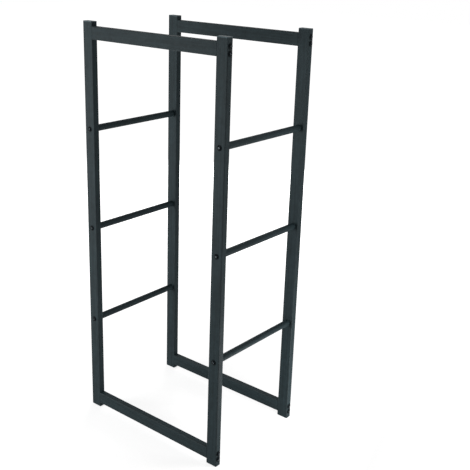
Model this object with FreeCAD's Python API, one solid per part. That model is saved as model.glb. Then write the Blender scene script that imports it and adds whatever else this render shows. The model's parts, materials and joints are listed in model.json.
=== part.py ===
import FreeCAD, Part
import math
import os

from FreeCAD import Placement, Rotation, Vector

# Firewood rack: two bolted rectangular frames, front and rear, joined by round cross-bars on both sides.
# Millimetres, X to the right, Y to the rear, Z up, origin on the floor under the middle of the rack.

# Overall sizes
rack_width = 432.0          # over the outer side faces of the uprights
rack_depth = 303.0          # over the front and rear faces of the uprights
rack_height = 1000.0        # floor to the top of the end plugs

# Rectangular steel tube
upright_width = 30.0        # face of an upright seen from the front
rail_height = 30.0          # face of a rail seen from the front
tube_depth = 16.0           # front to rear, uprights and rails alike
tube_wall = 1.2
tube_inner_corner = 0.3     # radius inside the tube's long edges
rail_inset = 11.0           # from an upright's end to the nearest edge of the rail

# Round cross-bars, by the height of their middle line; those on the right sit a little higher
bar_diameter = 16.0
bar_wall = 1.2
left_low_height = 252.0
left_middle_height = 499.0
left_high_height = 748.0
right_low_height = 272.0
right_middle_height = 530.0
right_high_height = 772.0

# Bolts with a domed head on a round flange
bolt_diameter = 6.0
bolt_tip_chamfer = 0.8
flange_diameter = 13.0
flange_height = 0.9
dome_diameter = 10.0
head_height = 3.3           # from the seat to the dome's top, before the socket is cut
socket_width = 4.0          # hexagon across flats
socket_depth = 2.0
rail_bolt_spacing = 15.0    # between the two bolts of one rail end
rail_bolt_engagement = 12.0  # length of bolt inside the rail's nut block
bar_bolt_engagement = 9.0   # length of bolt inside the cross-bar's nut plug

# Threaded pieces inside the tube ends
rail_block_length = 18.0
bar_plug_length = 16.0

# Plastic end plugs: caps on top of the uprights and feet under them
plug_flange = 2.0
plug_edge_round = 0.7
plug_wall = 1.8

# Clearances
bolt_hole_clearance = 0.3   # around a bolt in an upright
thread_clearance = 0.05     # around a bolt in its thread
insert_clearance = 0.1      # around a block or plug inside a tube
plug_bolt_gap = 3.0         # between an end plug and the nearest rail bolt

# Derived sizes
tube_corner = tube_inner_corner + tube_wall
bolt_hole_radius = bolt_diameter / 2 + bolt_hole_clearance
thread_radius = bolt_diameter / 2 + thread_clearance
upright_length = rack_height - 2 * plug_flange
upright_x = (rack_width - upright_width) / 2
upright_y = (rack_depth - tube_depth) / 2
rail_length = rack_width - 2 * upright_width
rail_center = rail_inset + rail_height / 2
bar_length = rack_depth - 2 * tube_depth
bar_bore_radius = bar_diameter / 2 - bar_wall
plug_length = rail_center - rail_bolt_spacing / 2 - bolt_diameter / 2 - plug_flange - plug_bolt_gap

# Places by name: -1 is left or front, 1 is right or rear
sides = {"left": -1, "right": 1}
frames = {"front": -1, "rear": 1}
rail_heights = {"bottom": rail_center, "top": rack_height - rail_center}
bar_heights = {
    "left": {"low": left_low_height, "middle": left_middle_height, "high": left_high_height},
    "right": {"low": right_low_height, "middle": right_middle_height, "high": right_high_height},
}
rail_bolt_offsets = (-rail_bolt_spacing / 2, rail_bolt_spacing / 2)

x_axis = Vector(1, 0, 0)
y_axis = Vector(0, 1, 0)
z_axis = Vector(0, 0, 1)


def turned(shape, direction, position):
    """Copy of a shape built along +Z, turned to point along direction and moved to position."""
    placed = shape.copy()
    placed.Placement = Placement(position, Rotation(z_axis, direction))
    return placed


def rounded_prism(width, depth, length, radius):
    """Prism on the XY plane, centred on Z, with its four long edges rounded."""
    block = Part.makeBox(width, depth, length, Vector(-width / 2, -depth / 2, 0))
    long_edges = []
    for edge in block.Edges:
        ends = [vertex.Point for vertex in edge.Vertexes]
        if abs(ends[0].z - ends[1].z) > length / 2:
            long_edges.append(edge)
    return block.makeFillet(radius, long_edges)


def tube_core(width, depth, length, clearance):
    """Prism that fills a rectangular tube, smaller by clearance all round."""
    shrink = 2 * (tube_wall + clearance)
    return rounded_prism(width - shrink, depth - shrink, length, tube_inner_corner)


def rectangular_tube(width, depth, length):
    """Open tube along Z, standing on the XY plane."""
    outside = rounded_prism(width, depth, length, tube_corner)
    inside = tube_core(width, depth, length, 0)
    return outside.cut(inside)


def upright(side, frame):
    """Tube with holes for the rail bolts across X and for the cross-bar bolts across Y."""
    x = sides[side] * upright_x
    y = frames[frame] * upright_y
    tube = rectangular_tube(upright_width, tube_depth, upright_length)
    tube.translate(Vector(x, y, plug_flange))
    holes = []
    for center in rail_heights.values():
        for offset in rail_bolt_offsets:
            start = Vector(x - upright_width / 2, y, center + offset)
            holes.append(Part.makeCylinder(bolt_hole_radius, upright_width, start, x_axis))
    for height in bar_heights[side].values():
        start = Vector(x, y - tube_depth / 2, height)
        holes.append(Part.makeCylinder(bolt_hole_radius, tube_depth, start, y_axis))
    return tube.cut(holes)


def rail(frame, level):
    """Tube between the left and right uprights, its wide face to the front."""
    tube = rectangular_tube(rail_height, tube_depth, rail_length)
    start = Vector(-rail_length / 2, frames[frame] * upright_y, rail_heights[level])
    return turned(tube, x_axis, start)


def rail_nut_block(frame, level, side):
    """Steel block in a rail's end, flush with it, with two threaded holes along X."""
    block = tube_core(rail_height, tube_depth, rail_block_length, insert_clearance)
    threads = []
    for offset in rail_bolt_offsets:
        threads.append(Part.makeCylinder(thread_radius, rail_block_length, Vector(offset, 0, 0)))
    inward = x_axis * -sides[side]
    end = Vector(sides[side] * rail_length / 2, frames[frame] * upright_y, rail_heights[level])
    return turned(block.cut(threads), inward, end)


def crossbar(side, level):
    """Round tube from the front upright to the rear upright of one side."""
    outside = Part.makeCylinder(bar_diameter / 2, bar_length)
    inside = Part.makeCylinder(bar_bore_radius, bar_length)
    start = Vector(sides[side] * upright_x, -bar_length / 2, bar_heights[side][level])
    return turned(outside.cut(inside), y_axis, start)


def crossbar_nut_plug(side, level, frame):
    """Threaded steel plug in a cross-bar's end, flush with it."""
    plug = Part.makeCylinder(bar_bore_radius - insert_clearance, bar_plug_length)
    thread = Part.makeCylinder(thread_radius, bar_plug_length)
    inward = y_axis * -frames[frame]
    end = Vector(sides[side] * upright_x, frames[frame] * bar_length / 2, bar_heights[side][level])
    return turned(plug.cut(thread), inward, end)


def bolt_head():
    """Flange with a dome above the XY plane, with a hexagon socket."""
    flange = Part.makeCylinder(flange_diameter / 2, flange_height)
    rise = head_height - flange_height
    ball_radius = ((dome_diameter / 2) ** 2 + rise**2) / (2 * rise)
    ball = Part.makeSphere(ball_radius, Vector(0, 0, head_height - ball_radius))
    dome = Part.makeCylinder(dome_diameter / 2, head_height).common(ball)
    head = flange.fuse(dome).removeSplitter()
    corner = Vector(socket_width / 2 / math.cos(math.pi / 6), 0, head_height - socket_depth)
    corners = []
    for turn in range(7):
        corners.append(Rotation(z_axis, 60 * turn).multVec(corner))
    socket = Part.Face(Part.makePolygon(corners)).extrude(z_axis * socket_depth)
    return head.cut(socket)


def bolt(length):
    """Bolt along Z, with the underside of its flange on the XY plane."""
    radius = bolt_diameter / 2
    straight = length - bolt_tip_chamfer
    shank = Part.makeCylinder(radius, straight, Vector(0, 0, 0), -z_axis)
    tip = Part.makeCone(radius, radius - bolt_tip_chamfer, bolt_tip_chamfer, Vector(0, 0, -straight), -z_axis)
    return bolt_head().fuse([shank, tip]).removeSplitter()


def rail_bolts(side, frame):
    """The four bolts that hold the top and bottom rails to one upright, heads on its outer side face."""
    fastener = bolt(upright_width + rail_bolt_engagement)
    outward = x_axis * sides[side]
    placed = []
    for center in rail_heights.values():
        for offset in rail_bolt_offsets:
            seat = Vector(sides[side] * rack_width / 2, frames[frame] * upright_y, center + offset)
            placed.append(turned(fastener, outward, seat))
    return Part.makeCompound(placed)


def crossbar_bolts(side, frame):
    """The three bolts that hold the cross-bars to one upright, heads on its outer wide face."""
    fastener = bolt(tube_depth + bar_bolt_engagement)
    outward = y_axis * frames[frame]
    placed = []
    for height in bar_heights[side].values():
        seat = Vector(sides[side] * upright_x, frames[frame] * rack_depth / 2, height)
        placed.append(turned(fastener, outward, seat))
    return Part.makeCompound(placed)


def end_plug():
    """Hollow plastic plug: flange above the XY plane, body pushed into the tube below it."""
    flange = rounded_prism(upright_width, tube_depth, plug_flange, tube_corner)
    top_edges = []
    for edge in flange.Edges:
        if edge.BoundBox.ZMin > plug_flange / 2:
            top_edges.append(edge)
    flange = flange.makeFillet(plug_edge_round, top_edges)
    body = tube_core(upright_width, tube_depth, plug_length, insert_clearance)
    hollow_width = upright_width - 2 * (tube_wall + insert_clearance + plug_wall)
    hollow_depth = tube_depth - 2 * (tube_wall + insert_clearance + plug_wall)
    hollow = Part.makeBox(
        hollow_width, hollow_depth, plug_length, Vector(-hollow_width / 2, -hollow_depth / 2, 0)
    )
    skirt = body.cut(hollow)
    skirt.translate(Vector(0, 0, -plug_length))
    return flange.fuse(skirt).removeSplitter()


def top_cap(side, frame):
    """End plug on top of an upright."""
    seat = Vector(sides[side] * upright_x, frames[frame] * upright_y, rack_height - plug_flange)
    return turned(end_plug(), z_axis, seat)


def foot(side, frame):
    """End plug under an upright, its flange on the floor."""
    plug = end_plug()
    plug.rotate(Vector(0, 0, 0), x_axis, 180)
    plug.translate(Vector(sides[side] * upright_x, frames[frame] * upright_y, plug_flange))
    return plug


def all_nodes():
    """Every piece of the rack by its name."""
    nodes = {}
    for frame in frames:
        for side in sides:
            place = f"{frame}_{side}"
            nodes[f"upright_{place}"] = upright(side, frame)
            nodes[f"top_cap_{place}"] = top_cap(side, frame)
            nodes[f"foot_{place}"] = foot(side, frame)
            nodes[f"rail_bolts_{place}"] = rail_bolts(side, frame)
            nodes[f"crossbar_bolts_{place}"] = crossbar_bolts(side, frame)
        for level in rail_heights:
            nodes[f"rail_{frame}_{level}"] = rail(frame, level)
            for side in sides:
                nodes[f"rail_nut_block_{frame}_{level}_{side}"] = rail_nut_block(frame, level, side)
    for side in sides:
        for level in bar_heights[side]:
            nodes[f"crossbar_{side}_{level}"] = crossbar(side, level)
            for frame in frames:
                nodes[f"crossbar_nut_plug_{side}_{level}_{frame}"] = crossbar_nut_plug(side, level, frame)
    return nodes


os.makedirs("parts", exist_ok=True)
for name, shape in all_nodes().items():
    shape.exportStep(f"parts/{name}.step")
    print(name, "solids", len(shape.Solids), "volume", round(shape.Volume, 1), "valid", shape.isValid())
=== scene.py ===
# %% [markdown]
# # A bolted steel firewood rack
# The rack is two flat frames of rectangular steel tube, one in front and one behind, tied together by
# round cross-bars. Its tubes could be modelled here, but a construction model of them exists, with every
# piece at its real size and place. So that model is loaded and kept as it is, and Blender adds what it
# lacks: finishes, finely turned bolts, a studio and a camera.

# %% Load the construction model
import json
import math

import bmesh
import bpy
from mathutils import Euler, Matrix, Vector


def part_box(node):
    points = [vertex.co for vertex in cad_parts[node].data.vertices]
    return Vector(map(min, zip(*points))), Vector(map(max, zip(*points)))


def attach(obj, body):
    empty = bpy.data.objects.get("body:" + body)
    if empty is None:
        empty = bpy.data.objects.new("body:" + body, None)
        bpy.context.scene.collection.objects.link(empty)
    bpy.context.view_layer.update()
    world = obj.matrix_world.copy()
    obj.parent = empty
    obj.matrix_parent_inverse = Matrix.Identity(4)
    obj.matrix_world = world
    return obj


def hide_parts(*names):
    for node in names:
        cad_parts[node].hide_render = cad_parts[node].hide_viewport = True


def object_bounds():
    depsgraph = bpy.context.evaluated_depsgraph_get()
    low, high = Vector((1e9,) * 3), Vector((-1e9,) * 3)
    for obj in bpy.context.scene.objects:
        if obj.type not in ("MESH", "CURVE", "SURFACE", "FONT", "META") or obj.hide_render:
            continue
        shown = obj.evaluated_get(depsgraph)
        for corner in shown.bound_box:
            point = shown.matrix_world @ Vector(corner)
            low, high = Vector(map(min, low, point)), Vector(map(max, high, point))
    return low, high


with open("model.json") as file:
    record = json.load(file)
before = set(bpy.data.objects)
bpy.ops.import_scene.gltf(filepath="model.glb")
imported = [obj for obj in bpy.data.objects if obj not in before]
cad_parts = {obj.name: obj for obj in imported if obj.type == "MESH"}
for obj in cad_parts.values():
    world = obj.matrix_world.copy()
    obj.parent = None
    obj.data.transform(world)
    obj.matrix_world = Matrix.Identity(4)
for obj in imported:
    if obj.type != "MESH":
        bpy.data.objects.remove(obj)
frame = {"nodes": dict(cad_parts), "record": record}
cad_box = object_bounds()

MM = 0.001
nodes = frame["nodes"]
slot_of = {row["node"]: row["material_slot"] for row in frame["record"]["subparts"]}
size = cad_box[1] - cad_box[0]
print("pieces", len(nodes), "size in mm", [round(value / MM, 1) for value in size])

# %% [markdown]
# ## Tools for writing a finish
# A finish, such as the coat on the tubes, is a small network of nodes around one Principled shader. It
# could be clicked together in the shader editor. Written as code, it can be read from top to bottom and
# made again, so each finish below is a function. These helpers keep the functions short. A value that
# comes out of another node is linked to a socket, and any other value is typed into it.

# %% Materials and nodes
def new_finish(name):
    """A material with only a Principled shader and its output."""
    material = bpy.data.materials.new(name)
    material.use_nodes = True
    tree = material.node_tree
    tree.nodes.clear()
    shader = tree.nodes.new("ShaderNodeBsdfPrincipled")
    output = tree.nodes.new("ShaderNodeOutputMaterial")
    tree.links.new(shader.outputs["BSDF"], output.inputs["Surface"])
    return material, tree, shader


def plug(tree, node, socket, value):
    """Links an output to a socket, or types a plain value into it."""
    if isinstance(value, bpy.types.NodeSocket):
        tree.links.new(value, node.inputs[socket])
    else:
        node.inputs[socket].default_value = value


def add(tree, kind, settings=None, **sockets):
    """A node of the given kind with its settings and sockets filled in."""
    node = tree.nodes.new(kind)
    for key, value in (settings or {}).items():
        setattr(node, key, value)
    for key, value in sockets.items():
        plug(tree, node, key.replace("_", " "), value)
    return node


def calc(tree, operation, *values):
    """The result of a Math node on up to three values."""
    node = add(tree, "ShaderNodeMath", {"operation": operation})
    for place, value in enumerate(values):
        plug(tree, node, place, value)
    return node.outputs["Value"]


print("helpers for nodes ready")

# %% [markdown]
# ## Noise for uneven surfaces
# No real surface has the same colour and gloss all over. The unevenness could be painted as a picture
# and wrapped round each piece, but a picture blurs from close by. Noise is worked out afresh at every
# point, so it stays sharp, and on Object coordinates its lumps have a real size: a scale of 70 makes
# about 70 of them in a metre. Most of a noise lies near its middle, so that part is stretched before it
# is used.

# %% Noise and ranges
NOISE_SPAN = (0.3, 0.7)


def grain(tree, lumps, detail=2.0, roughness=0.5):
    """Noise fixed to the piece, with its lumps counted per metre."""
    place = add(tree, "ShaderNodeTexCoord").outputs["Object"]
    noise = add(tree, "ShaderNodeTexNoise", Vector=place, Scale=lumps, Detail=detail, Roughness=roughness)
    return noise.outputs["Fac"]


def spread(tree, value, low=0.0, high=1.0, span=NOISE_SPAN):
    """Stretches the part of a value inside the span over the range from low to high."""
    ends = {"From_Min": span[0], "From_Max": span[1], "To_Min": low, "To_Max": high}
    return add(tree, "ShaderNodeMapRange", Value=value, **ends).outputs["Result"]


print("helpers for noise ready, stretching", NOISE_SPAN)

# %% [markdown]
# ## Mixing what the noise drives
# A noise is only a number between 0 and 1. To become a colour it runs from one colour to another. A
# colour ramp could do that, but its stops hold fixed colours, and a Mix node also takes colours that
# other nodes have made. A Mix node has sockets of the same name for numbers and for colours, so those
# for colours are picked by their place. Several noises are added up, each times its share.

# %% Mix colours and values
FIRST_COLOUR = 6
SECOND_COLOUR = 7
MIXED_COLOUR = 2


def mix_colours(tree, share, first, second):
    """Runs from the first colour to the second as the share goes from 0 to 1."""
    mix = add(tree, "ShaderNodeMix", {"data_type": "RGBA"}, Factor=share)
    plug(tree, mix, FIRST_COLOUR, first)
    plug(tree, mix, SECOND_COLOUR, second)
    return mix.outputs[MIXED_COLOUR]


def blend(tree, parts):
    """Adds up several values, each times its share."""
    total = 0.0
    for value, share in parts:
        total = calc(tree, "MULTIPLY_ADD", value, share, total)
    return total


print("helpers for mixing ready")

# %% [markdown]
# ## Fine relief
# Coats, plating and mouldings have a relief of hundredths of a millimetre, which breaks up their gloss.
# It could be modelled by displacing the mesh, but that would take millions of faces. A Bump node only
# tilts the way that a face takes the light, which looks the same at this depth.

# %% Stack bumps
def relief(tree, shader, layers):
    """Stacks bump layers, each a height, its depth in metres and its strength, onto the shader."""
    normal = None
    for height, depth, strength in layers:
        bump = add(tree, "ShaderNodeBump", Height=height, Distance=depth, Strength=strength)
        if normal is not None:
            plug(tree, bump, "Normal", normal)
        normal = bump.outputs["Normal"]
    plug(tree, shader, "Normal", normal)


print("helper for relief ready")

# %% [markdown]
# ## Lines along a tube
# Tube is rolled lengthwise, and faint lines from that show through a thin coat as changes of tone. They
# could be painted, but noise can draw them too, if a Mapping node first squeezes its coordinates: with
# few lumps in a metre along the tube and many across it, each lump becomes a long line.

# %% Draw lines
LINES_ACROSS = 220.0
LINES_ALONG = 8.0


def draw_lines(tree, axis):
    """Noise pulled out into long lines along one axis of the rack."""
    lumps = [LINES_ACROSS, LINES_ACROSS, LINES_ACROSS]
    lumps["XYZ".index(axis)] = LINES_ALONG
    place = add(tree, "ShaderNodeTexCoord").outputs["Object"]
    pulled = add(tree, "ShaderNodeMapping", Vector=place, Scale=lumps).outputs["Vector"]
    return add(tree, "ShaderNodeTexNoise", Vector=pulled, Scale=1.0, Detail=2.0).outputs["Fac"]


print("a line is about", round(LINES_ACROSS / LINES_ALONG), "times as long as wide")

# %% [markdown]
# ## The corners of a tube
# Melting powder draws back from the corners of a tube, and hands and logs rub them later, so they are a
# little paler and smoother than the flat sides. The Pointiness of the Geometry node finds edges on a
# dense mesh, but these tubes are made of long, thin triangles. Their flat sides all face along one axis
# of the rack, though, so the surface is a corner wherever it faces between two axes.

# %% Find the corners
CORNER_STRENGTH = 0.8
CORNER_FACING = (0.75, 0.97)


def corners_of(tree):
    """0 on the flat sides of a rectangular tube, rising along its rounded corners."""
    normal = add(tree, "ShaderNodeTexCoord").outputs["Normal"]
    facing = add(tree, "ShaderNodeVectorMath", {"operation": "ABSOLUTE"}, Vector=normal).outputs["Vector"]
    parts = add(tree, "ShaderNodeSeparateXYZ", Vector=facing).outputs
    larger = calc(tree, "MAXIMUM", parts["X"], parts["Y"])
    largest = calc(tree, "MAXIMUM", larger, parts["Z"])
    return spread(tree, largest, CORNER_STRENGTH, 0.0, CORNER_FACING)


corner_start = math.degrees(math.acos(CORNER_FACING[1]))
print("a corner begins", round(corner_start), "degrees away from a flat side")

# %% [markdown]
# ## The tone of the coat
# Uprights, rails and cross-bars are sprayed with dry anthracite powder, which never covers quite evenly.
# One noise could vary the tone, but no single noise looks like a sprayed surface. So the tone is a blend
# of four: a slow drift, a mottle, the lines of the tube and the grain of the powder, each with its share.

# %% Tone of the coat
COAT_DARK = (0.0104, 0.0170, 0.0194, 1.0)
COAT_LIGHT = (0.0312, 0.0510, 0.0581, 1.0)
DRIFT_LUMPS = 9.0
MOTTLE_LUMPS = 70.0
DRIFT_SHARE = 0.15
MOTTLE_SHARE = 0.25
LINES_SHARE = 0.4
POWDER_SHARE = 0.2


def coat_tone(tree, axis, powder):
    """Uneven anthracite, from the grain of the powder and from coarser noises."""
    drift = spread(tree, grain(tree, DRIFT_LUMPS, detail=3.0))
    mottle = spread(tree, grain(tree, MOTTLE_LUMPS, detail=3.0))
    lines = spread(tree, draw_lines(tree, axis))
    speck = spread(tree, powder)
    coarse = [(drift, DRIFT_SHARE), (mottle, MOTTLE_SHARE)]
    fine = [(lines, LINES_SHARE), (speck, POWDER_SHARE)]
    return mix_colours(tree, blend(tree, coarse + fine), COAT_DARK, COAT_LIGHT)


print("the mottle's lumps are", round(1 / MOTTLE_LUMPS / MM), "mm wide")

# %% [markdown]
# ## The powder coat
# In an oven the powder melts and flows out to a dull satin skin with shallow waves about a millimetre and
# a half long, the orange peel, and a finer grain on top. A smooth shader with some roughness could pass
# for it from afar. Close by, the waves have to show in both the relief and the gloss, so one noise drives
# the two. On the corners the skin is thin: paler and smoother.

# %% Powder coat
COAT_CORNER = (0.058, 0.070, 0.075, 1.0)
COAT_ROUGHNESS = (0.52, 0.64)
CORNER_POLISH = -0.2
COAT_SPECULAR = 0.1
PEEL_LUMPS = 650.0
PEEL_DEPTH = 0.25 * MM
PEEL_STRENGTH = 0.6
POWDER_LUMPS = 1700.0
POWDER_DEPTH = 0.10 * MM
POWDER_STRENGTH = 0.5


def powder_coat(name, axis, has_corners):
    """Satin powder coat with lines along one axis, and worn corners where a tube has corners."""
    material, tree, shader = new_finish(name)
    powder = grain(tree, POWDER_LUMPS, roughness=0.6)
    waves = grain(tree, PEEL_LUMPS, detail=1.0)
    tone = coat_tone(tree, axis, powder)
    dull = spread(tree, waves, *COAT_ROUGHNESS)
    if has_corners:
        corner = corners_of(tree)
        tone = mix_colours(tree, corner, tone, COAT_CORNER)
        dull = blend(tree, [(dull, 1.0), (corner, CORNER_POLISH)])
    plug(tree, shader, "Base Color", tone)
    plug(tree, shader, "Roughness", dull)
    plug(tree, shader, "Specular IOR Level", COAT_SPECULAR)
    relief(tree, shader, [(waves, PEEL_DEPTH, PEEL_STRENGTH), (powder, POWDER_DEPTH, POWDER_STRENGTH)])
    return material


print("the waves of the coat are", round(1 / PEEL_LUMPS / MM, 2), "mm long")

# %% [markdown]
# ## A coat for each kind of tube
# The lines run upwards on an upright, across on a rail and front to back on a cross-bar. One material
# for all would have to be told the direction piece by piece, and three materials made by one function
# are easier to read. The round bars have no corners, so their coat leaves that step out.

# %% Three coats
COATS = {
    "upright": powder_coat("powder coat on uprights", axis="Z", has_corners=True),
    "rail": powder_coat("powder coat on rails", axis="X", has_corners=True),
    "crossbar": powder_coat("powder coat on round bars", axis="Y", has_corners=False),
}
print("made", [coat.name for coat in COATS.values()])

# %% [markdown]
# ## Black bolts with bare sockets
# The bolts are blackened steel: a thin oxide skin with a trace of oil, blacker than the coat, with a weak
# bluish sheen, and a little uneven where it has been rubbed. The hexagon key scrapes the skin off inside
# the socket, so the sockets show as pale dots. Bare metal could be a second material on those faces, but
# it would stop at a hard line. Instead each bolt carries an attribute, key_wear, that is 1 inside the
# socket and fades out over the chamfer at its mouth, and by it one finish goes from black skin to bare
# metal.

# %% Blackened steel
BLACK_SKIN = ((0.001, 0.002, 0.003, 1.0), (0.004, 0.006, 0.007, 1.0))
BARE_STEEL = ((0.12, 0.14, 0.15, 1.0), (0.20, 0.225, 0.24, 1.0))
BOLT_ROUGHNESS = (0.42, 0.56)
OIL_SPECULAR = 0.055
OIL_TINT = (0.7, 0.88, 1.0, 1.0)
RUB_LUMPS = 420.0
FORGED_LUMPS = 2600.0
FORGED_DEPTH = 0.02 * MM
FORGED_STRENGTH = 0.3


def blackened_steel():
    """Black oxide skin that gives way to bare metal where key_wear is 1."""
    material, tree, shader = new_finish("blackened steel")
    rub = spread(tree, grain(tree, RUB_LUMPS, detail=4.0, roughness=0.6))
    wear = add(tree, "ShaderNodeAttribute", {"attribute_name": "key_wear"}).outputs["Fac"]
    black = mix_colours(tree, rub, *BLACK_SKIN)
    bare = mix_colours(tree, rub, *BARE_STEEL)
    plug(tree, shader, "Base Color", mix_colours(tree, wear, black, bare))
    plug(tree, shader, "Roughness", spread(tree, rub, *BOLT_ROUGHNESS))
    plug(tree, shader, "Metallic", wear)
    plug(tree, shader, "Specular IOR Level", OIL_SPECULAR)
    plug(tree, shader, "Specular Tint", OIL_TINT)
    relief(tree, shader, [(grain(tree, FORGED_LUMPS), FORGED_DEPTH, FORGED_STRENGTH)])
    return material


bolt_steel = blackened_steel()
print("made", bolt_steel.name)

# %% [markdown]
# ## Moulded plastic
# The plugs that close the uprights are injection moulded in a grey that goes with the coat. The mould is
# spark eroded, which leaves an even, fine, dull grain, and the melt flows in with slight clouds of tone.
# On pieces this small a flat colour might do from afar, but close by it would look unfinished beside the
# coat. One fine noise drives both the bump and the gloss, so that the two go together as on a real
# moulding.

# %% Moulded plastic
PLASTIC_GREYS = ((0.016, 0.026, 0.030, 1.0), (0.028, 0.043, 0.048, 1.0))
PLASTIC_ROUGHNESS = (0.42, 0.58)
PLASTIC_SPECULAR = 0.35
PLASTIC_TINT = (0.65, 0.9, 1.0, 1.0)
FLOW_LUMPS = 60.0
SPARK_LUMPS = 1800.0
SPARK_DEPTH = 0.05 * MM
SPARK_STRENGTH = 0.4


def moulded_plastic():
    """Grey plastic with the fine grain of a spark-eroded mould."""
    material, tree, shader = new_finish("moulded grey plastic")
    flow = spread(tree, grain(tree, FLOW_LUMPS, detail=3.0))
    spark = grain(tree, SPARK_LUMPS)
    plug(tree, shader, "Base Color", mix_colours(tree, flow, *PLASTIC_GREYS))
    plug(tree, shader, "Roughness", spread(tree, spark, *PLASTIC_ROUGHNESS))
    plug(tree, shader, "Specular IOR Level", PLASTIC_SPECULAR)
    plug(tree, shader, "Specular Tint", PLASTIC_TINT)
    relief(tree, shader, [(spark, SPARK_DEPTH, SPARK_STRENGTH)])
    return material


plastic = moulded_plastic()
print("made", plastic.name)

# %% [markdown]
# ## Bright zinc
# The threaded blocks and plugs inside the tubes are zinc plated. Nobody sees them on the finished rack,
# but a rack taken apart shows them. A metal of one even gloss could stand in for the plate. The real one
# is pale and a little cloudy, so one slow noise shifts both its colour and its gloss.

# %% Zinc plate
ZINC_GREYS = ((0.46, 0.47, 0.50, 1.0), (0.60, 0.61, 0.63, 1.0))
ZINC_ROUGHNESS = (0.26, 0.40)
CLOUD_LUMPS = 240.0
PLATE_LUMPS = 1500.0
PLATE_DEPTH = 0.02 * MM
PLATE_STRENGTH = 0.3


def zinc_plate():
    """Pale, slightly cloudy zinc plate."""
    material, tree, shader = new_finish("bright zinc plate")
    cloud = spread(tree, grain(tree, CLOUD_LUMPS, detail=4.0))
    plug(tree, shader, "Base Color", mix_colours(tree, cloud, *ZINC_GREYS))
    plug(tree, shader, "Roughness", spread(tree, cloud, *ZINC_ROUGHNESS))
    plug(tree, shader, "Metallic", 1.0)
    relief(tree, shader, [(grain(tree, PLATE_LUMPS), PLATE_DEPTH, PLATE_STRENGTH)])
    return material


zinc = zinc_plate()
print("made", zinc.name)

# %% [markdown]
# ## Dressing the pieces
# Each piece names its finish in the record. Fifty pieces could be dressed one by one, but a loop that
# follows the record forgets none. A coated piece takes one of the three coats, by the first word of its
# name. The meshes stay as they are: only the material in their slot changes.

# %% Give each piece its finish
FINISHES = {
    "black_bolts": bolt_steel,
    "end_plug_plastic": plastic,
    "zinc_inserts": zinc,
}
for name, piece in nodes.items():
    kind = name.split("_")[0]
    is_coated = slot_of[name] == "powder_coat"
    piece.data.materials.clear()
    piece.data.materials.append(COATS[kind] if is_coated else FINISHES[slot_of[name]])
print("dressed", len(nodes), "pieces")

# %% [markdown]
# ## The dome of a bolt
# A bolt's head is a low dome on a thin flange, with a hexagon socket in the top. The dome could be a
# squashed ball, but a real one is a slice of a true ball, which takes the light more evenly. The size of
# that ball follows from how wide and how high the dome is, and from the ball how far its curve sweeps
# from the flange up to the mouth of the socket.

# %% Measure the dome
FLANGE_HEIGHT = 0.9 * MM
DOME_RADIUS = 5.0 * MM
DOME_TOP = 3.3 * MM
SOCKET_MOUTH = 2.45 * MM

dome_rise = DOME_TOP - FLANGE_HEIGHT
ball = (DOME_RADIUS**2 + dome_rise**2) / (2 * dome_rise)
ball_middle = DOME_TOP - ball
dome_sweep = math.asin(DOME_RADIUS / ball) - math.asin(SOCKET_MOUTH / ball)
mouth_height = ball_middle + math.sqrt(ball**2 - SOCKET_MOUTH**2)
print("the dome is cut from a ball of", round(ball / MM, 2), "mm radius")
print("the socket starts", round(mouth_height / MM, 2), "mm above the seat")

# %% [markdown]
# ## The body of a bolt
# Head and shank together have the shape of a turned part. A ball and a few cylinders could stand in for
# it, but they would only poke into each other. So half of the outline is drawn once and spun round,
# which gives one unbroken skin. The dome's curve comes from a single point, spun about the middle of its
# ball. The rest goes from point to point, out along the flange and down the shank to its tip.

# %% Turn the body
SHANK_RADIUS = 3.0 * MM
TIP_CHAMFER = 0.8 * MM
DOME_STEPS = 7
TURN_STEPS = 48
SAME_POINT = 1e-7


def draw_outline(shape, start, points):
    """Draws edges from a vertex through points given as distance from the axis and height."""
    for reach, height in points:
        start = bmesh.ops.extrude_vert_indiv(shape, verts=[start])["verts"][0]
        start.co = (reach, 0.0, height)


def turn_body(flange_radius, length):
    """A bolt along Z, flange on the XY plane and shank below, still open where the socket goes."""
    shape = bmesh.new()
    edge_of_dome = shape.verts.new((DOME_RADIUS, 0.0, FLANGE_HEIGHT))
    bmesh.ops.spin(shape, geom=[edge_of_dome], cent=(0, 0, ball_middle), axis=(0, -1, 0),
                   angle=dome_sweep, steps=DOME_STEPS)
    draw_outline(shape, edge_of_dome, [
        (flange_radius, FLANGE_HEIGHT),
        (flange_radius, 0.0),
        (SHANK_RADIUS, 0.0),
        (SHANK_RADIUS, TIP_CHAMFER - length),
        (SHANK_RADIUS - TIP_CHAMFER, -length),
        (0.0, -length),
    ])
    outline = shape.verts[:] + shape.edges[:]
    bmesh.ops.spin(shape, geom=outline, cent=(0, 0, 0), axis=(0, 0, 1), angle=math.tau,
                   steps=TURN_STEPS, use_merge=True)
    bmesh.ops.remove_doubles(shape, verts=shape.verts, dist=SAME_POINT)
    return shape


print("the body is turned in", TURN_STEPS, "steps")

# %% [markdown]
# ## The hexagon socket
# The socket takes a hexagon key. It could be cut with a Boolean, but that leaves slivers round its mouth
# that shade badly. The spin has left a round rim open on top of the dome, so the rim is pulled in to a
# hexagon, pushed down and closed in a point, as a drill leaves it, and every face stays a clean strip.
# The skin is then closed, so its doubles are merged and its faces turned outwards.

# %% Sink the socket
SOCKET_FLATS = 4.0 * MM
SOCKET_CHAMFER = 0.25 * MM
SOCKET_DEPTH = 1.8 * MM
DRILL_POINT = 0.6 * MM
SIXTH_TURN = math.radians(60.0)


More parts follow.
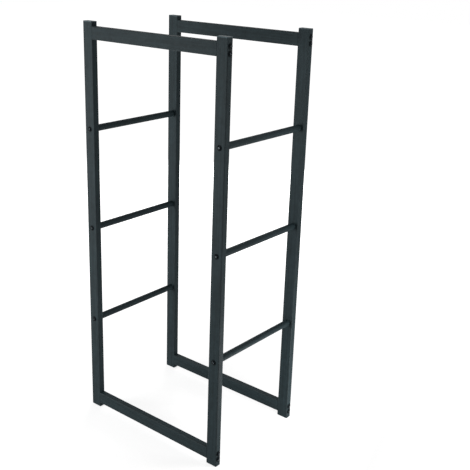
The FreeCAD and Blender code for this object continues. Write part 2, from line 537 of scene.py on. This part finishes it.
def sink_socket(shape):
    """Turns the open rim on the dome into a hexagon socket with a drilled floor."""
    rim = [edge for edge in shape.edges if edge.is_boundary]
    rings = ((SOCKET_CHAMFER, False), (SOCKET_DEPTH, False), (SOCKET_DEPTH + DRILL_POINT, True))
    for depth, closed in rings:
        pulled = bmesh.ops.extrude_edge_only(shape, edges=rim)["geom"]
        rim = [part for part in pulled if isinstance(part, bmesh.types.BMEdge)]
        for vertex in (part for part in pulled if isinstance(part, bmesh.types.BMVert)):
            angle = math.atan2(vertex.co.y, vertex.co.x)
            from_flat = angle % SIXTH_TURN - SIXTH_TURN / 2
            reach = 0.0 if closed else SOCKET_FLATS / 2 / math.cos(from_flat)
            vertex.co = (reach * math.cos(angle), reach * math.sin(angle), mouth_height - depth)
    bmesh.ops.remove_doubles(shape, verts=shape.verts, dist=SAME_POINT)
    bmesh.ops.recalc_face_normals(shape, faces=shape.faces)


print("the socket is", round((SOCKET_DEPTH + DRILL_POINT) / MM, 2), "mm deep")

# %% [markdown]
# ## Rounded edges and worn sockets
# Forged edges are never sharp. The flange is rounded above and below, and a fillet leads up to the dome.
# A Bevel modifier could do it by angle, but it would also round the socket and the tip. So only the
# circles that need it are bevelled, found by their distance from the axis and their height. Last,
# key_wear is written on the vertices inside the socket, where the finish turns to bare metal.

# %% Finish a bolt
FLANGE_ROUND = 0.25 * MM
DOME_FILLET = 0.4 * MM
ROUND_SEGMENTS = 3
ON_CIRCLE = 1e-6
RIM_MARGIN = 0.05 * MM


def circle_edges(shape, reach, height):
    """The edges of one turned circle, by its distance from the axis and its height."""
    def lies_on(vertex):
        return abs(vertex.co.xy.length - reach) < ON_CIRCLE and abs(vertex.co.z - height) < ON_CIRCLE
    return [edge for edge in shape.edges if all(lies_on(vertex) for vertex in edge.verts)]


def round_off(shape, edges, radius):
    """Bevels edges to a round of the given radius."""
    bmesh.ops.bevel(shape, geom=edges, offset=radius, offset_type="OFFSET", segments=ROUND_SEGMENTS,
                    profile=0.5, affect="EDGES", material=-1)


def turn_bolt(flange_radius, length):
    """A whole bolt along Z with its flange on the XY plane and its shank below."""
    shape = turn_body(flange_radius, length)
    sink_socket(shape)
    flange_top = circle_edges(shape, flange_radius, FLANGE_HEIGHT)
    flange_seat = circle_edges(shape, flange_radius, 0.0)
    round_off(shape, flange_top + flange_seat, FLANGE_ROUND)
    round_off(shape, circle_edges(shape, DOME_RADIUS, FLANGE_HEIGHT), DOME_FILLET)
    wear = shape.verts.layers.float.new("key_wear")
    for vertex in shape.verts:
        in_socket = vertex.co.z > 0 and vertex.co.xy.length < SOCKET_MOUTH - RIM_MARGIN
        vertex[wear] = 1.0 if in_socket else 0.0
    return shape


sample = turn_bolt(flange_radius=6.5 * MM, length=40.0 * MM)
open_edges = sum(edge.is_boundary for edge in sample.edges)
print("a bolt has", len(sample.faces), "faces and", open_edges, "open edges")
sample.free()

# %% [markdown]
# ## From a mesh to a piece
# The construction model has plainer bolts, in groups: those in one side face or one wide face of an
# upright are one node. A group of turned bolts takes the place of each node. Hiding the plain ones by
# hand would do for a picture, but each new piece also has to hang from the rack's body, and the node
# that it replaces has to be hidden, so every new piece goes through this one function. Its faces shade
# smoothly, apart from the edges of the socket and the tip.

# %% Make a piece
SHARP_ANGLE = math.radians(35.0)


def add_piece(name, shape, finish, node):
    """Makes a finished piece of the rack from a bmesh, in place of a construction node."""
    mesh = bpy.data.meshes.new(name)
    shape.to_mesh(mesh)
    shape.free()
    mesh.materials.append(finish)
    mesh.shade_smooth()
    mesh.set_sharp_from_angle(angle=SHARP_ANGLE)
    piece = bpy.data.objects.new(name, mesh)
    bpy.context.scene.collection.objects.link(piece)
    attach(piece, "root")
    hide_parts(node)
    return piece


print("pieces shade smoothly up to", round(math.degrees(SHARP_ANGLE)), "degrees")

# %% [markdown]
# ## A group of bolts
# All the bolts of a group are alike, so one is turned as a pattern, to the width and length of the node
# that it replaces. Linked copies would save memory, but a piece has to carry its place in its own mesh.
# So the pattern is copied into one mesh, and each copy is turned outwards and moved to its seat there.
# No two bolts were tightened alike, so each is twisted a little further than the one before.

# %% Set a group of bolts
FIRST_TWIST = 11.0
NEXT_TWIST = 23.0


def set_bolts(node, seats, outward):
    """Puts one turned bolt on each seat, heads outward, as one piece that stands for the node."""
    low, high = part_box(node)
    along = 0 if outward.x else 1
    flange_radius = (high - low)[1 - along] / 2
    inner_end = low if outward[along] > 0 else high
    length = abs(inner_end[along] - seats[0][along])
    turned = turn_bolt(flange_radius, length)
    pattern = bpy.data.meshes.new("bolt pattern")
    turned.to_mesh(pattern)
    turned.free()
    facing = outward.to_track_quat("Z", "Y").to_matrix().to_4x4()
    joined = bmesh.new()
    for count, seat in enumerate(seats):
        already = len(joined.verts)
        joined.from_mesh(pattern)
        twist = Matrix.Rotation(math.radians(FIRST_TWIST + NEXT_TWIST * count), 4, "Z")
        placed = Matrix.Translation(seat) @ facing @ twist
        bmesh.ops.transform(joined, matrix=placed, verts=joined.verts[already:])
    bpy.data.meshes.remove(pattern)
    print("set", len(seats), "bolts of", round(length / MM, 1), "mm for", node)
    return add_piece("turned_" + node, joined, bolt_steel, node)


print("each bolt is twisted", NEXT_TWIST, "degrees further")

# %% [markdown]
# ## Where the rail bolts sit
# Two bolts, one above the other, go through each upright into the end of each rail, with their heads on
# the upright's outer side. Their places could be typed in, but they would be wrong as soon as the
# construction model changed, so they are read from the boxes of its tubes. The distance between the two
# follows from how far the group's box reaches below the middle of the bottom rail.

# %% Find the rail bolts
def middle_of(node):
    """The middle of a construction node's box."""
    low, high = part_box(node)
    return (low + high) / 2


def rail_bolt_seats(frame_name, side):
    """Two seats for each rail, one above the other, on the outer side of an upright."""
    upright = f"upright_{frame_name}_{side}"
    upright_low, upright_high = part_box(upright)
    face = upright_low.x if side == "left" else upright_high.x
    node_low, node_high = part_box(f"rail_bolts_{frame_name}_{side}")
    bottom_rail = middle_of(f"rail_{frame_name}_bottom").z
    top_rail = middle_of(f"rail_{frame_name}_top").z
    half_gap = bottom_rail - node_low.z - (node_high.y - node_low.y) / 2
    heights = [rail + step for rail in (bottom_rail, top_rail) for step in (-half_gap, half_gap)]
    return [Vector((face, middle_of(upright).y, height)) for height in heights]


print("one upright has", len(rail_bolt_seats("front", "left")), "rail bolts")

# %% [markdown]
# ## Where the cross-bar bolts sit
# One bolt goes through the wide outer face of an upright into the end of each cross-bar. It could be
# placed by measuring along the upright, but it has to meet the bar, so it takes its place from there.

# %% Find the cross-bar bolts
def crossbar_bolt_seats(frame_name, side):
    """One seat for each cross-bar, on the wide outer face of an upright."""
    upright_low, upright_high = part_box(f"upright_{frame_name}_{side}")
    face = upright_low.y if frame_name == "front" else upright_high.y
    bars = [middle_of(f"crossbar_{side}_{level}") for level in ("low", "middle", "high")]
    return [Vector((bar.x, face, bar.z)) for bar in bars]


print("one upright has", len(crossbar_bolt_seats("front", "left")), "cross-bar bolts")

# %% [markdown]
# ## All the bolts
# Every upright has both kinds of bolt. The eight groups could be set by eight lines, but the uprights
# differ only in the way that their outer faces look, so a loop takes each in turn.

# %% Set all the bolts
OUTWARD = {
    "left": Vector((-1.0, 0.0, 0.0)),
    "right": Vector((1.0, 0.0, 0.0)),
    "front": Vector((0.0, -1.0, 0.0)),
    "rear": Vector((0.0, 1.0, 0.0)),
}
for frame_name in ("front", "rear"):
    for side in ("left", "right"):
        corner = f"{frame_name}_{side}"
        set_bolts(f"rail_bolts_{corner}", rail_bolt_seats(frame_name, side), OUTWARD[side])
        set_bolts(f"crossbar_bolts_{corner}", crossbar_bolt_seats(frame_name, side), OUTWARD[frame_name])

# %% [markdown]
# ## White without more light
# The rack stands on a pale floor in front of white. Strong lamps could bleach the floor to white, but
# they would bleach the dark coat too. So floor and world only look white: to rays from the camera and in
# reflections or refractions they glow, and to all other rays they are plain paint and weak light. The
# Light Path node tells the rays apart.

# %% Tell the rays apart
def seen_directly(tree):
    """1 for rays from the camera, a reflection or a refraction, 0 for the rest."""
    rays = add(tree, "ShaderNodeLightPath").outputs
    first = calc(tree, "MAXIMUM", rays["Is Camera Ray"], rays["Is Glossy Ray"])
    return calc(tree, "MAXIMUM", first, rays["Is Transmission Ray"])


print("helper for the background ready")

# %% [markdown]
# ## The paint of the floor
# A floor that only glows would lose the rack's shadow. So near the rack a part of what the camera sees is
# lit paint, which takes a faint shadow, and the glow fills up the rest. Further off the glow alone is
# white, so no edge shows where the floor ends.

# %% Pale paint
FLOOR_PAINT = (0.72, 0.72, 0.72, 1.0)
WHITE = (1.0, 1.0, 1.0, 1.0)
GLOW_NEAR = 0.76
GLOW_FAR = 1.0
GLOW_SPAN = (0.35, 0.95)


def pale_floor():
    """Pale paint that looks white away from the rack."""
    material = bpy.data.materials.new("pale floor")
    material.use_nodes = True
    tree = material.node_tree
    tree.nodes.clear()
    paint = add(tree, "ShaderNodeBsdfDiffuse", Color=FLOOR_PAINT)
    place = add(tree, "ShaderNodeTexCoord").outputs["Object"]
    distance = add(tree, "ShaderNodeVectorMath", {"operation": "LENGTH"}, Vector=place).outputs["Value"]
    lift = spread(tree, distance, GLOW_NEAR, GLOW_FAR, GLOW_SPAN)
    glow = add(tree, "ShaderNodeEmission", Color=WHITE, Strength=lift)
    bright = add(tree, "ShaderNodeAddShader")
    plug(tree, bright, 0, paint.outputs["BSDF"])
    plug(tree, bright, 1, glow.outputs["Emission"])
    choose = add(tree, "ShaderNodeMixShader", Fac=seen_directly(tree))
    plug(tree, choose, 1, paint.outputs["BSDF"])
    plug(tree, choose, 2, bright.outputs["Shader"])
    add(tree, "ShaderNodeOutputMaterial", Surface=choose.outputs["Shader"])
    return material


print("the glow is white from", GLOW_SPAN[1], "m on")

# %% [markdown]
# ## The floor
# The floor is one large flat face at height 0, where the feet of the rack stand. A curved backdrop could
# hide the line at its far end, but here the world behind it is just as white.

# %% Floor
FLOOR_REACH = 12.0

floor_shape = bmesh.new()
bmesh.ops.create_grid(floor_shape, x_segments=1, y_segments=1, size=FLOOR_REACH)
floor_mesh = bpy.data.meshes.new("floor")
floor_shape.to_mesh(floor_mesh)
floor_shape.free()
floor = bpy.data.objects.new("floor", floor_mesh)
bpy.context.scene.collection.objects.link(floor)
floor.data.materials.append(pale_floor())
print("the floor reaches", FLOOR_REACH, "m each way")

# %% [markdown]
# ## The world
# The world fills the shadows from all sides. It could light the rack alone, but then every face would
# have the same tone, so it stays weak and leaves the modelling of the shapes to the lamps.

# %% World
WORLD_LIGHT = 0.10
WORLD_WHITE = 1.0

world = bpy.data.worlds.new("studio")
world.use_nodes = True
bpy.context.scene.world = world
sky = world.node_tree
sky.nodes.clear()
strength = add(sky, "ShaderNodeMapRange", Value=seen_directly(sky), To_Min=WORLD_LIGHT, To_Max=WORLD_WHITE)
backdrop = add(sky, "ShaderNodeBackground", Color=WHITE, Strength=strength.outputs["Result"])
add(sky, "ShaderNodeOutputWorld", Surface=backdrop.outputs["Background"])
print("the world lights the rack at", WORLD_LIGHT, "and looks", WORLD_WHITE)

# %% [markdown]
# ## A soft box
# Dull tubes look best in light from a broad source, which runs softly round their corners. A sun or a
# point lamp would give them hard shadows. An area lamp is the soft box of a photo studio: a glowing
# rectangle of a given width and height, placed and aimed. The camera doesn't see it.

# %% Make a soft box
def soft_box(name, place, target, width, height, power):
    """A rectangular area lamp at a place, facing a target, with its power in watts."""
    lamp = bpy.data.lights.new(name, "AREA")
    lamp.shape = "RECTANGLE"
    lamp.size = width
    lamp.size_y = height
    lamp.energy = power
    stand = bpy.data.objects.new(name, lamp)
    stand.location = place
    aim = Vector(target) - Vector(place)
    stand.rotation_euler = aim.to_track_quat("-Z", "Y").to_euler()
    stand.visible_camera = False
    bpy.context.scene.collection.objects.link(stand)
    print("lamp", name, "of", power, "W")
    return stand


print("helper for lamps ready")

# %% [markdown]
# ## Where the lamps stand
# A broad soft box on the front left is the main light. The outer right faces have lights of their own: a
# small soft box close to the floor, because they are brightest at the bottom, and a narrow strip above
# it. One large lamp further off would light both sides alike, so these two stand about a quarter of a
# metre from the rack and hardly reach its left side. A soft box behind on the left lights the back. It is
# left out of reflections, because it would draw bright lines along the tops of the bars.

# %% Light the rack
middle = (cad_box[0] + cad_box[1]) / 2
soft_box("main soft box", place=(-1.45, -1.9, 0.55), target=middle,
         width=1.4, height=1.0, power=38.5)
soft_box("low soft box", place=(0.48, 0.10, 0.10), target=(0.2, 0.02, 0.10),
         width=0.25, height=0.18, power=1.05)
soft_box("side strip", place=(0.46, 0.10, 0.76), target=(0.2, 0.02, 0.76),
         width=0.15, height=1.1, power=0.95)
back_box = soft_box("back soft box", place=(-1.3, 2.2, 0.7), target=middle,
                    width=1.4, height=1.2, power=30.0)
back_box.visible_glossy = False

# %% [markdown]
# ## The camera
# The photograph was taken from the front right, a little above the top of the rack. The camera could be
# moved by eye until the render looks alike. Here its place, heading, tilt and slight roll, and its focal
# length in pixels, were worked out from the edges of the tubes, which is more exact. The picture is
# cropped a little off centre, and the lens shift repeats that. A camera that isn't turned looks straight
# down, so the tilt is counted from 90 degrees, where it looks level.

# %% Camera
PICTURE = 470.0
FOCAL_PIXELS = 824.7
OPTICAL_CENTRE = (220.0, 222.0)
SENSOR_WIDTH = 36.0
CAMERA_PLACE = (1.2694, -1.4423, 1.1733)
LEVEL = 90.0
HEADING = 39.42
TILT = -18.59
ROLL = 1.59

lens = bpy.data.cameras.new("camera")
lens.sensor_width = SENSOR_WIDTH
lens.lens = FOCAL_PIXELS * SENSOR_WIDTH / PICTURE
lens.shift_x = (PICTURE / 2 - OPTICAL_CENTRE[0]) / PICTURE
lens.shift_y = (OPTICAL_CENTRE[1] - PICTURE / 2) / PICTURE
camera = bpy.data.objects.new("camera", lens)
turn = Euler((math.radians(LEVEL + TILT), 0.0, math.radians(HEADING)), "XYZ").to_matrix()
roll = Matrix.Rotation(math.radians(ROLL), 3, "Z")
camera.matrix_world = Matrix.Translation(CAMERA_PLACE) @ (turn @ roll).to_4x4()
bpy.context.scene.collection.objects.link(camera)
bpy.context.scene.camera = camera
bpy.context.scene.view_settings.view_transform = "Standard"
print("lens", round(lens.lens, 2), "shift", round(lens.shift_x, 3), round(lens.shift_y, 3))

# %% [markdown]
# ## The size
# The finish may not change the rack's size. Numbers show even a fraction of a millimetre, so the box of
# the construction model is printed.

# %% Print the size
print("size before", [list(corner) for corner in cad_box])
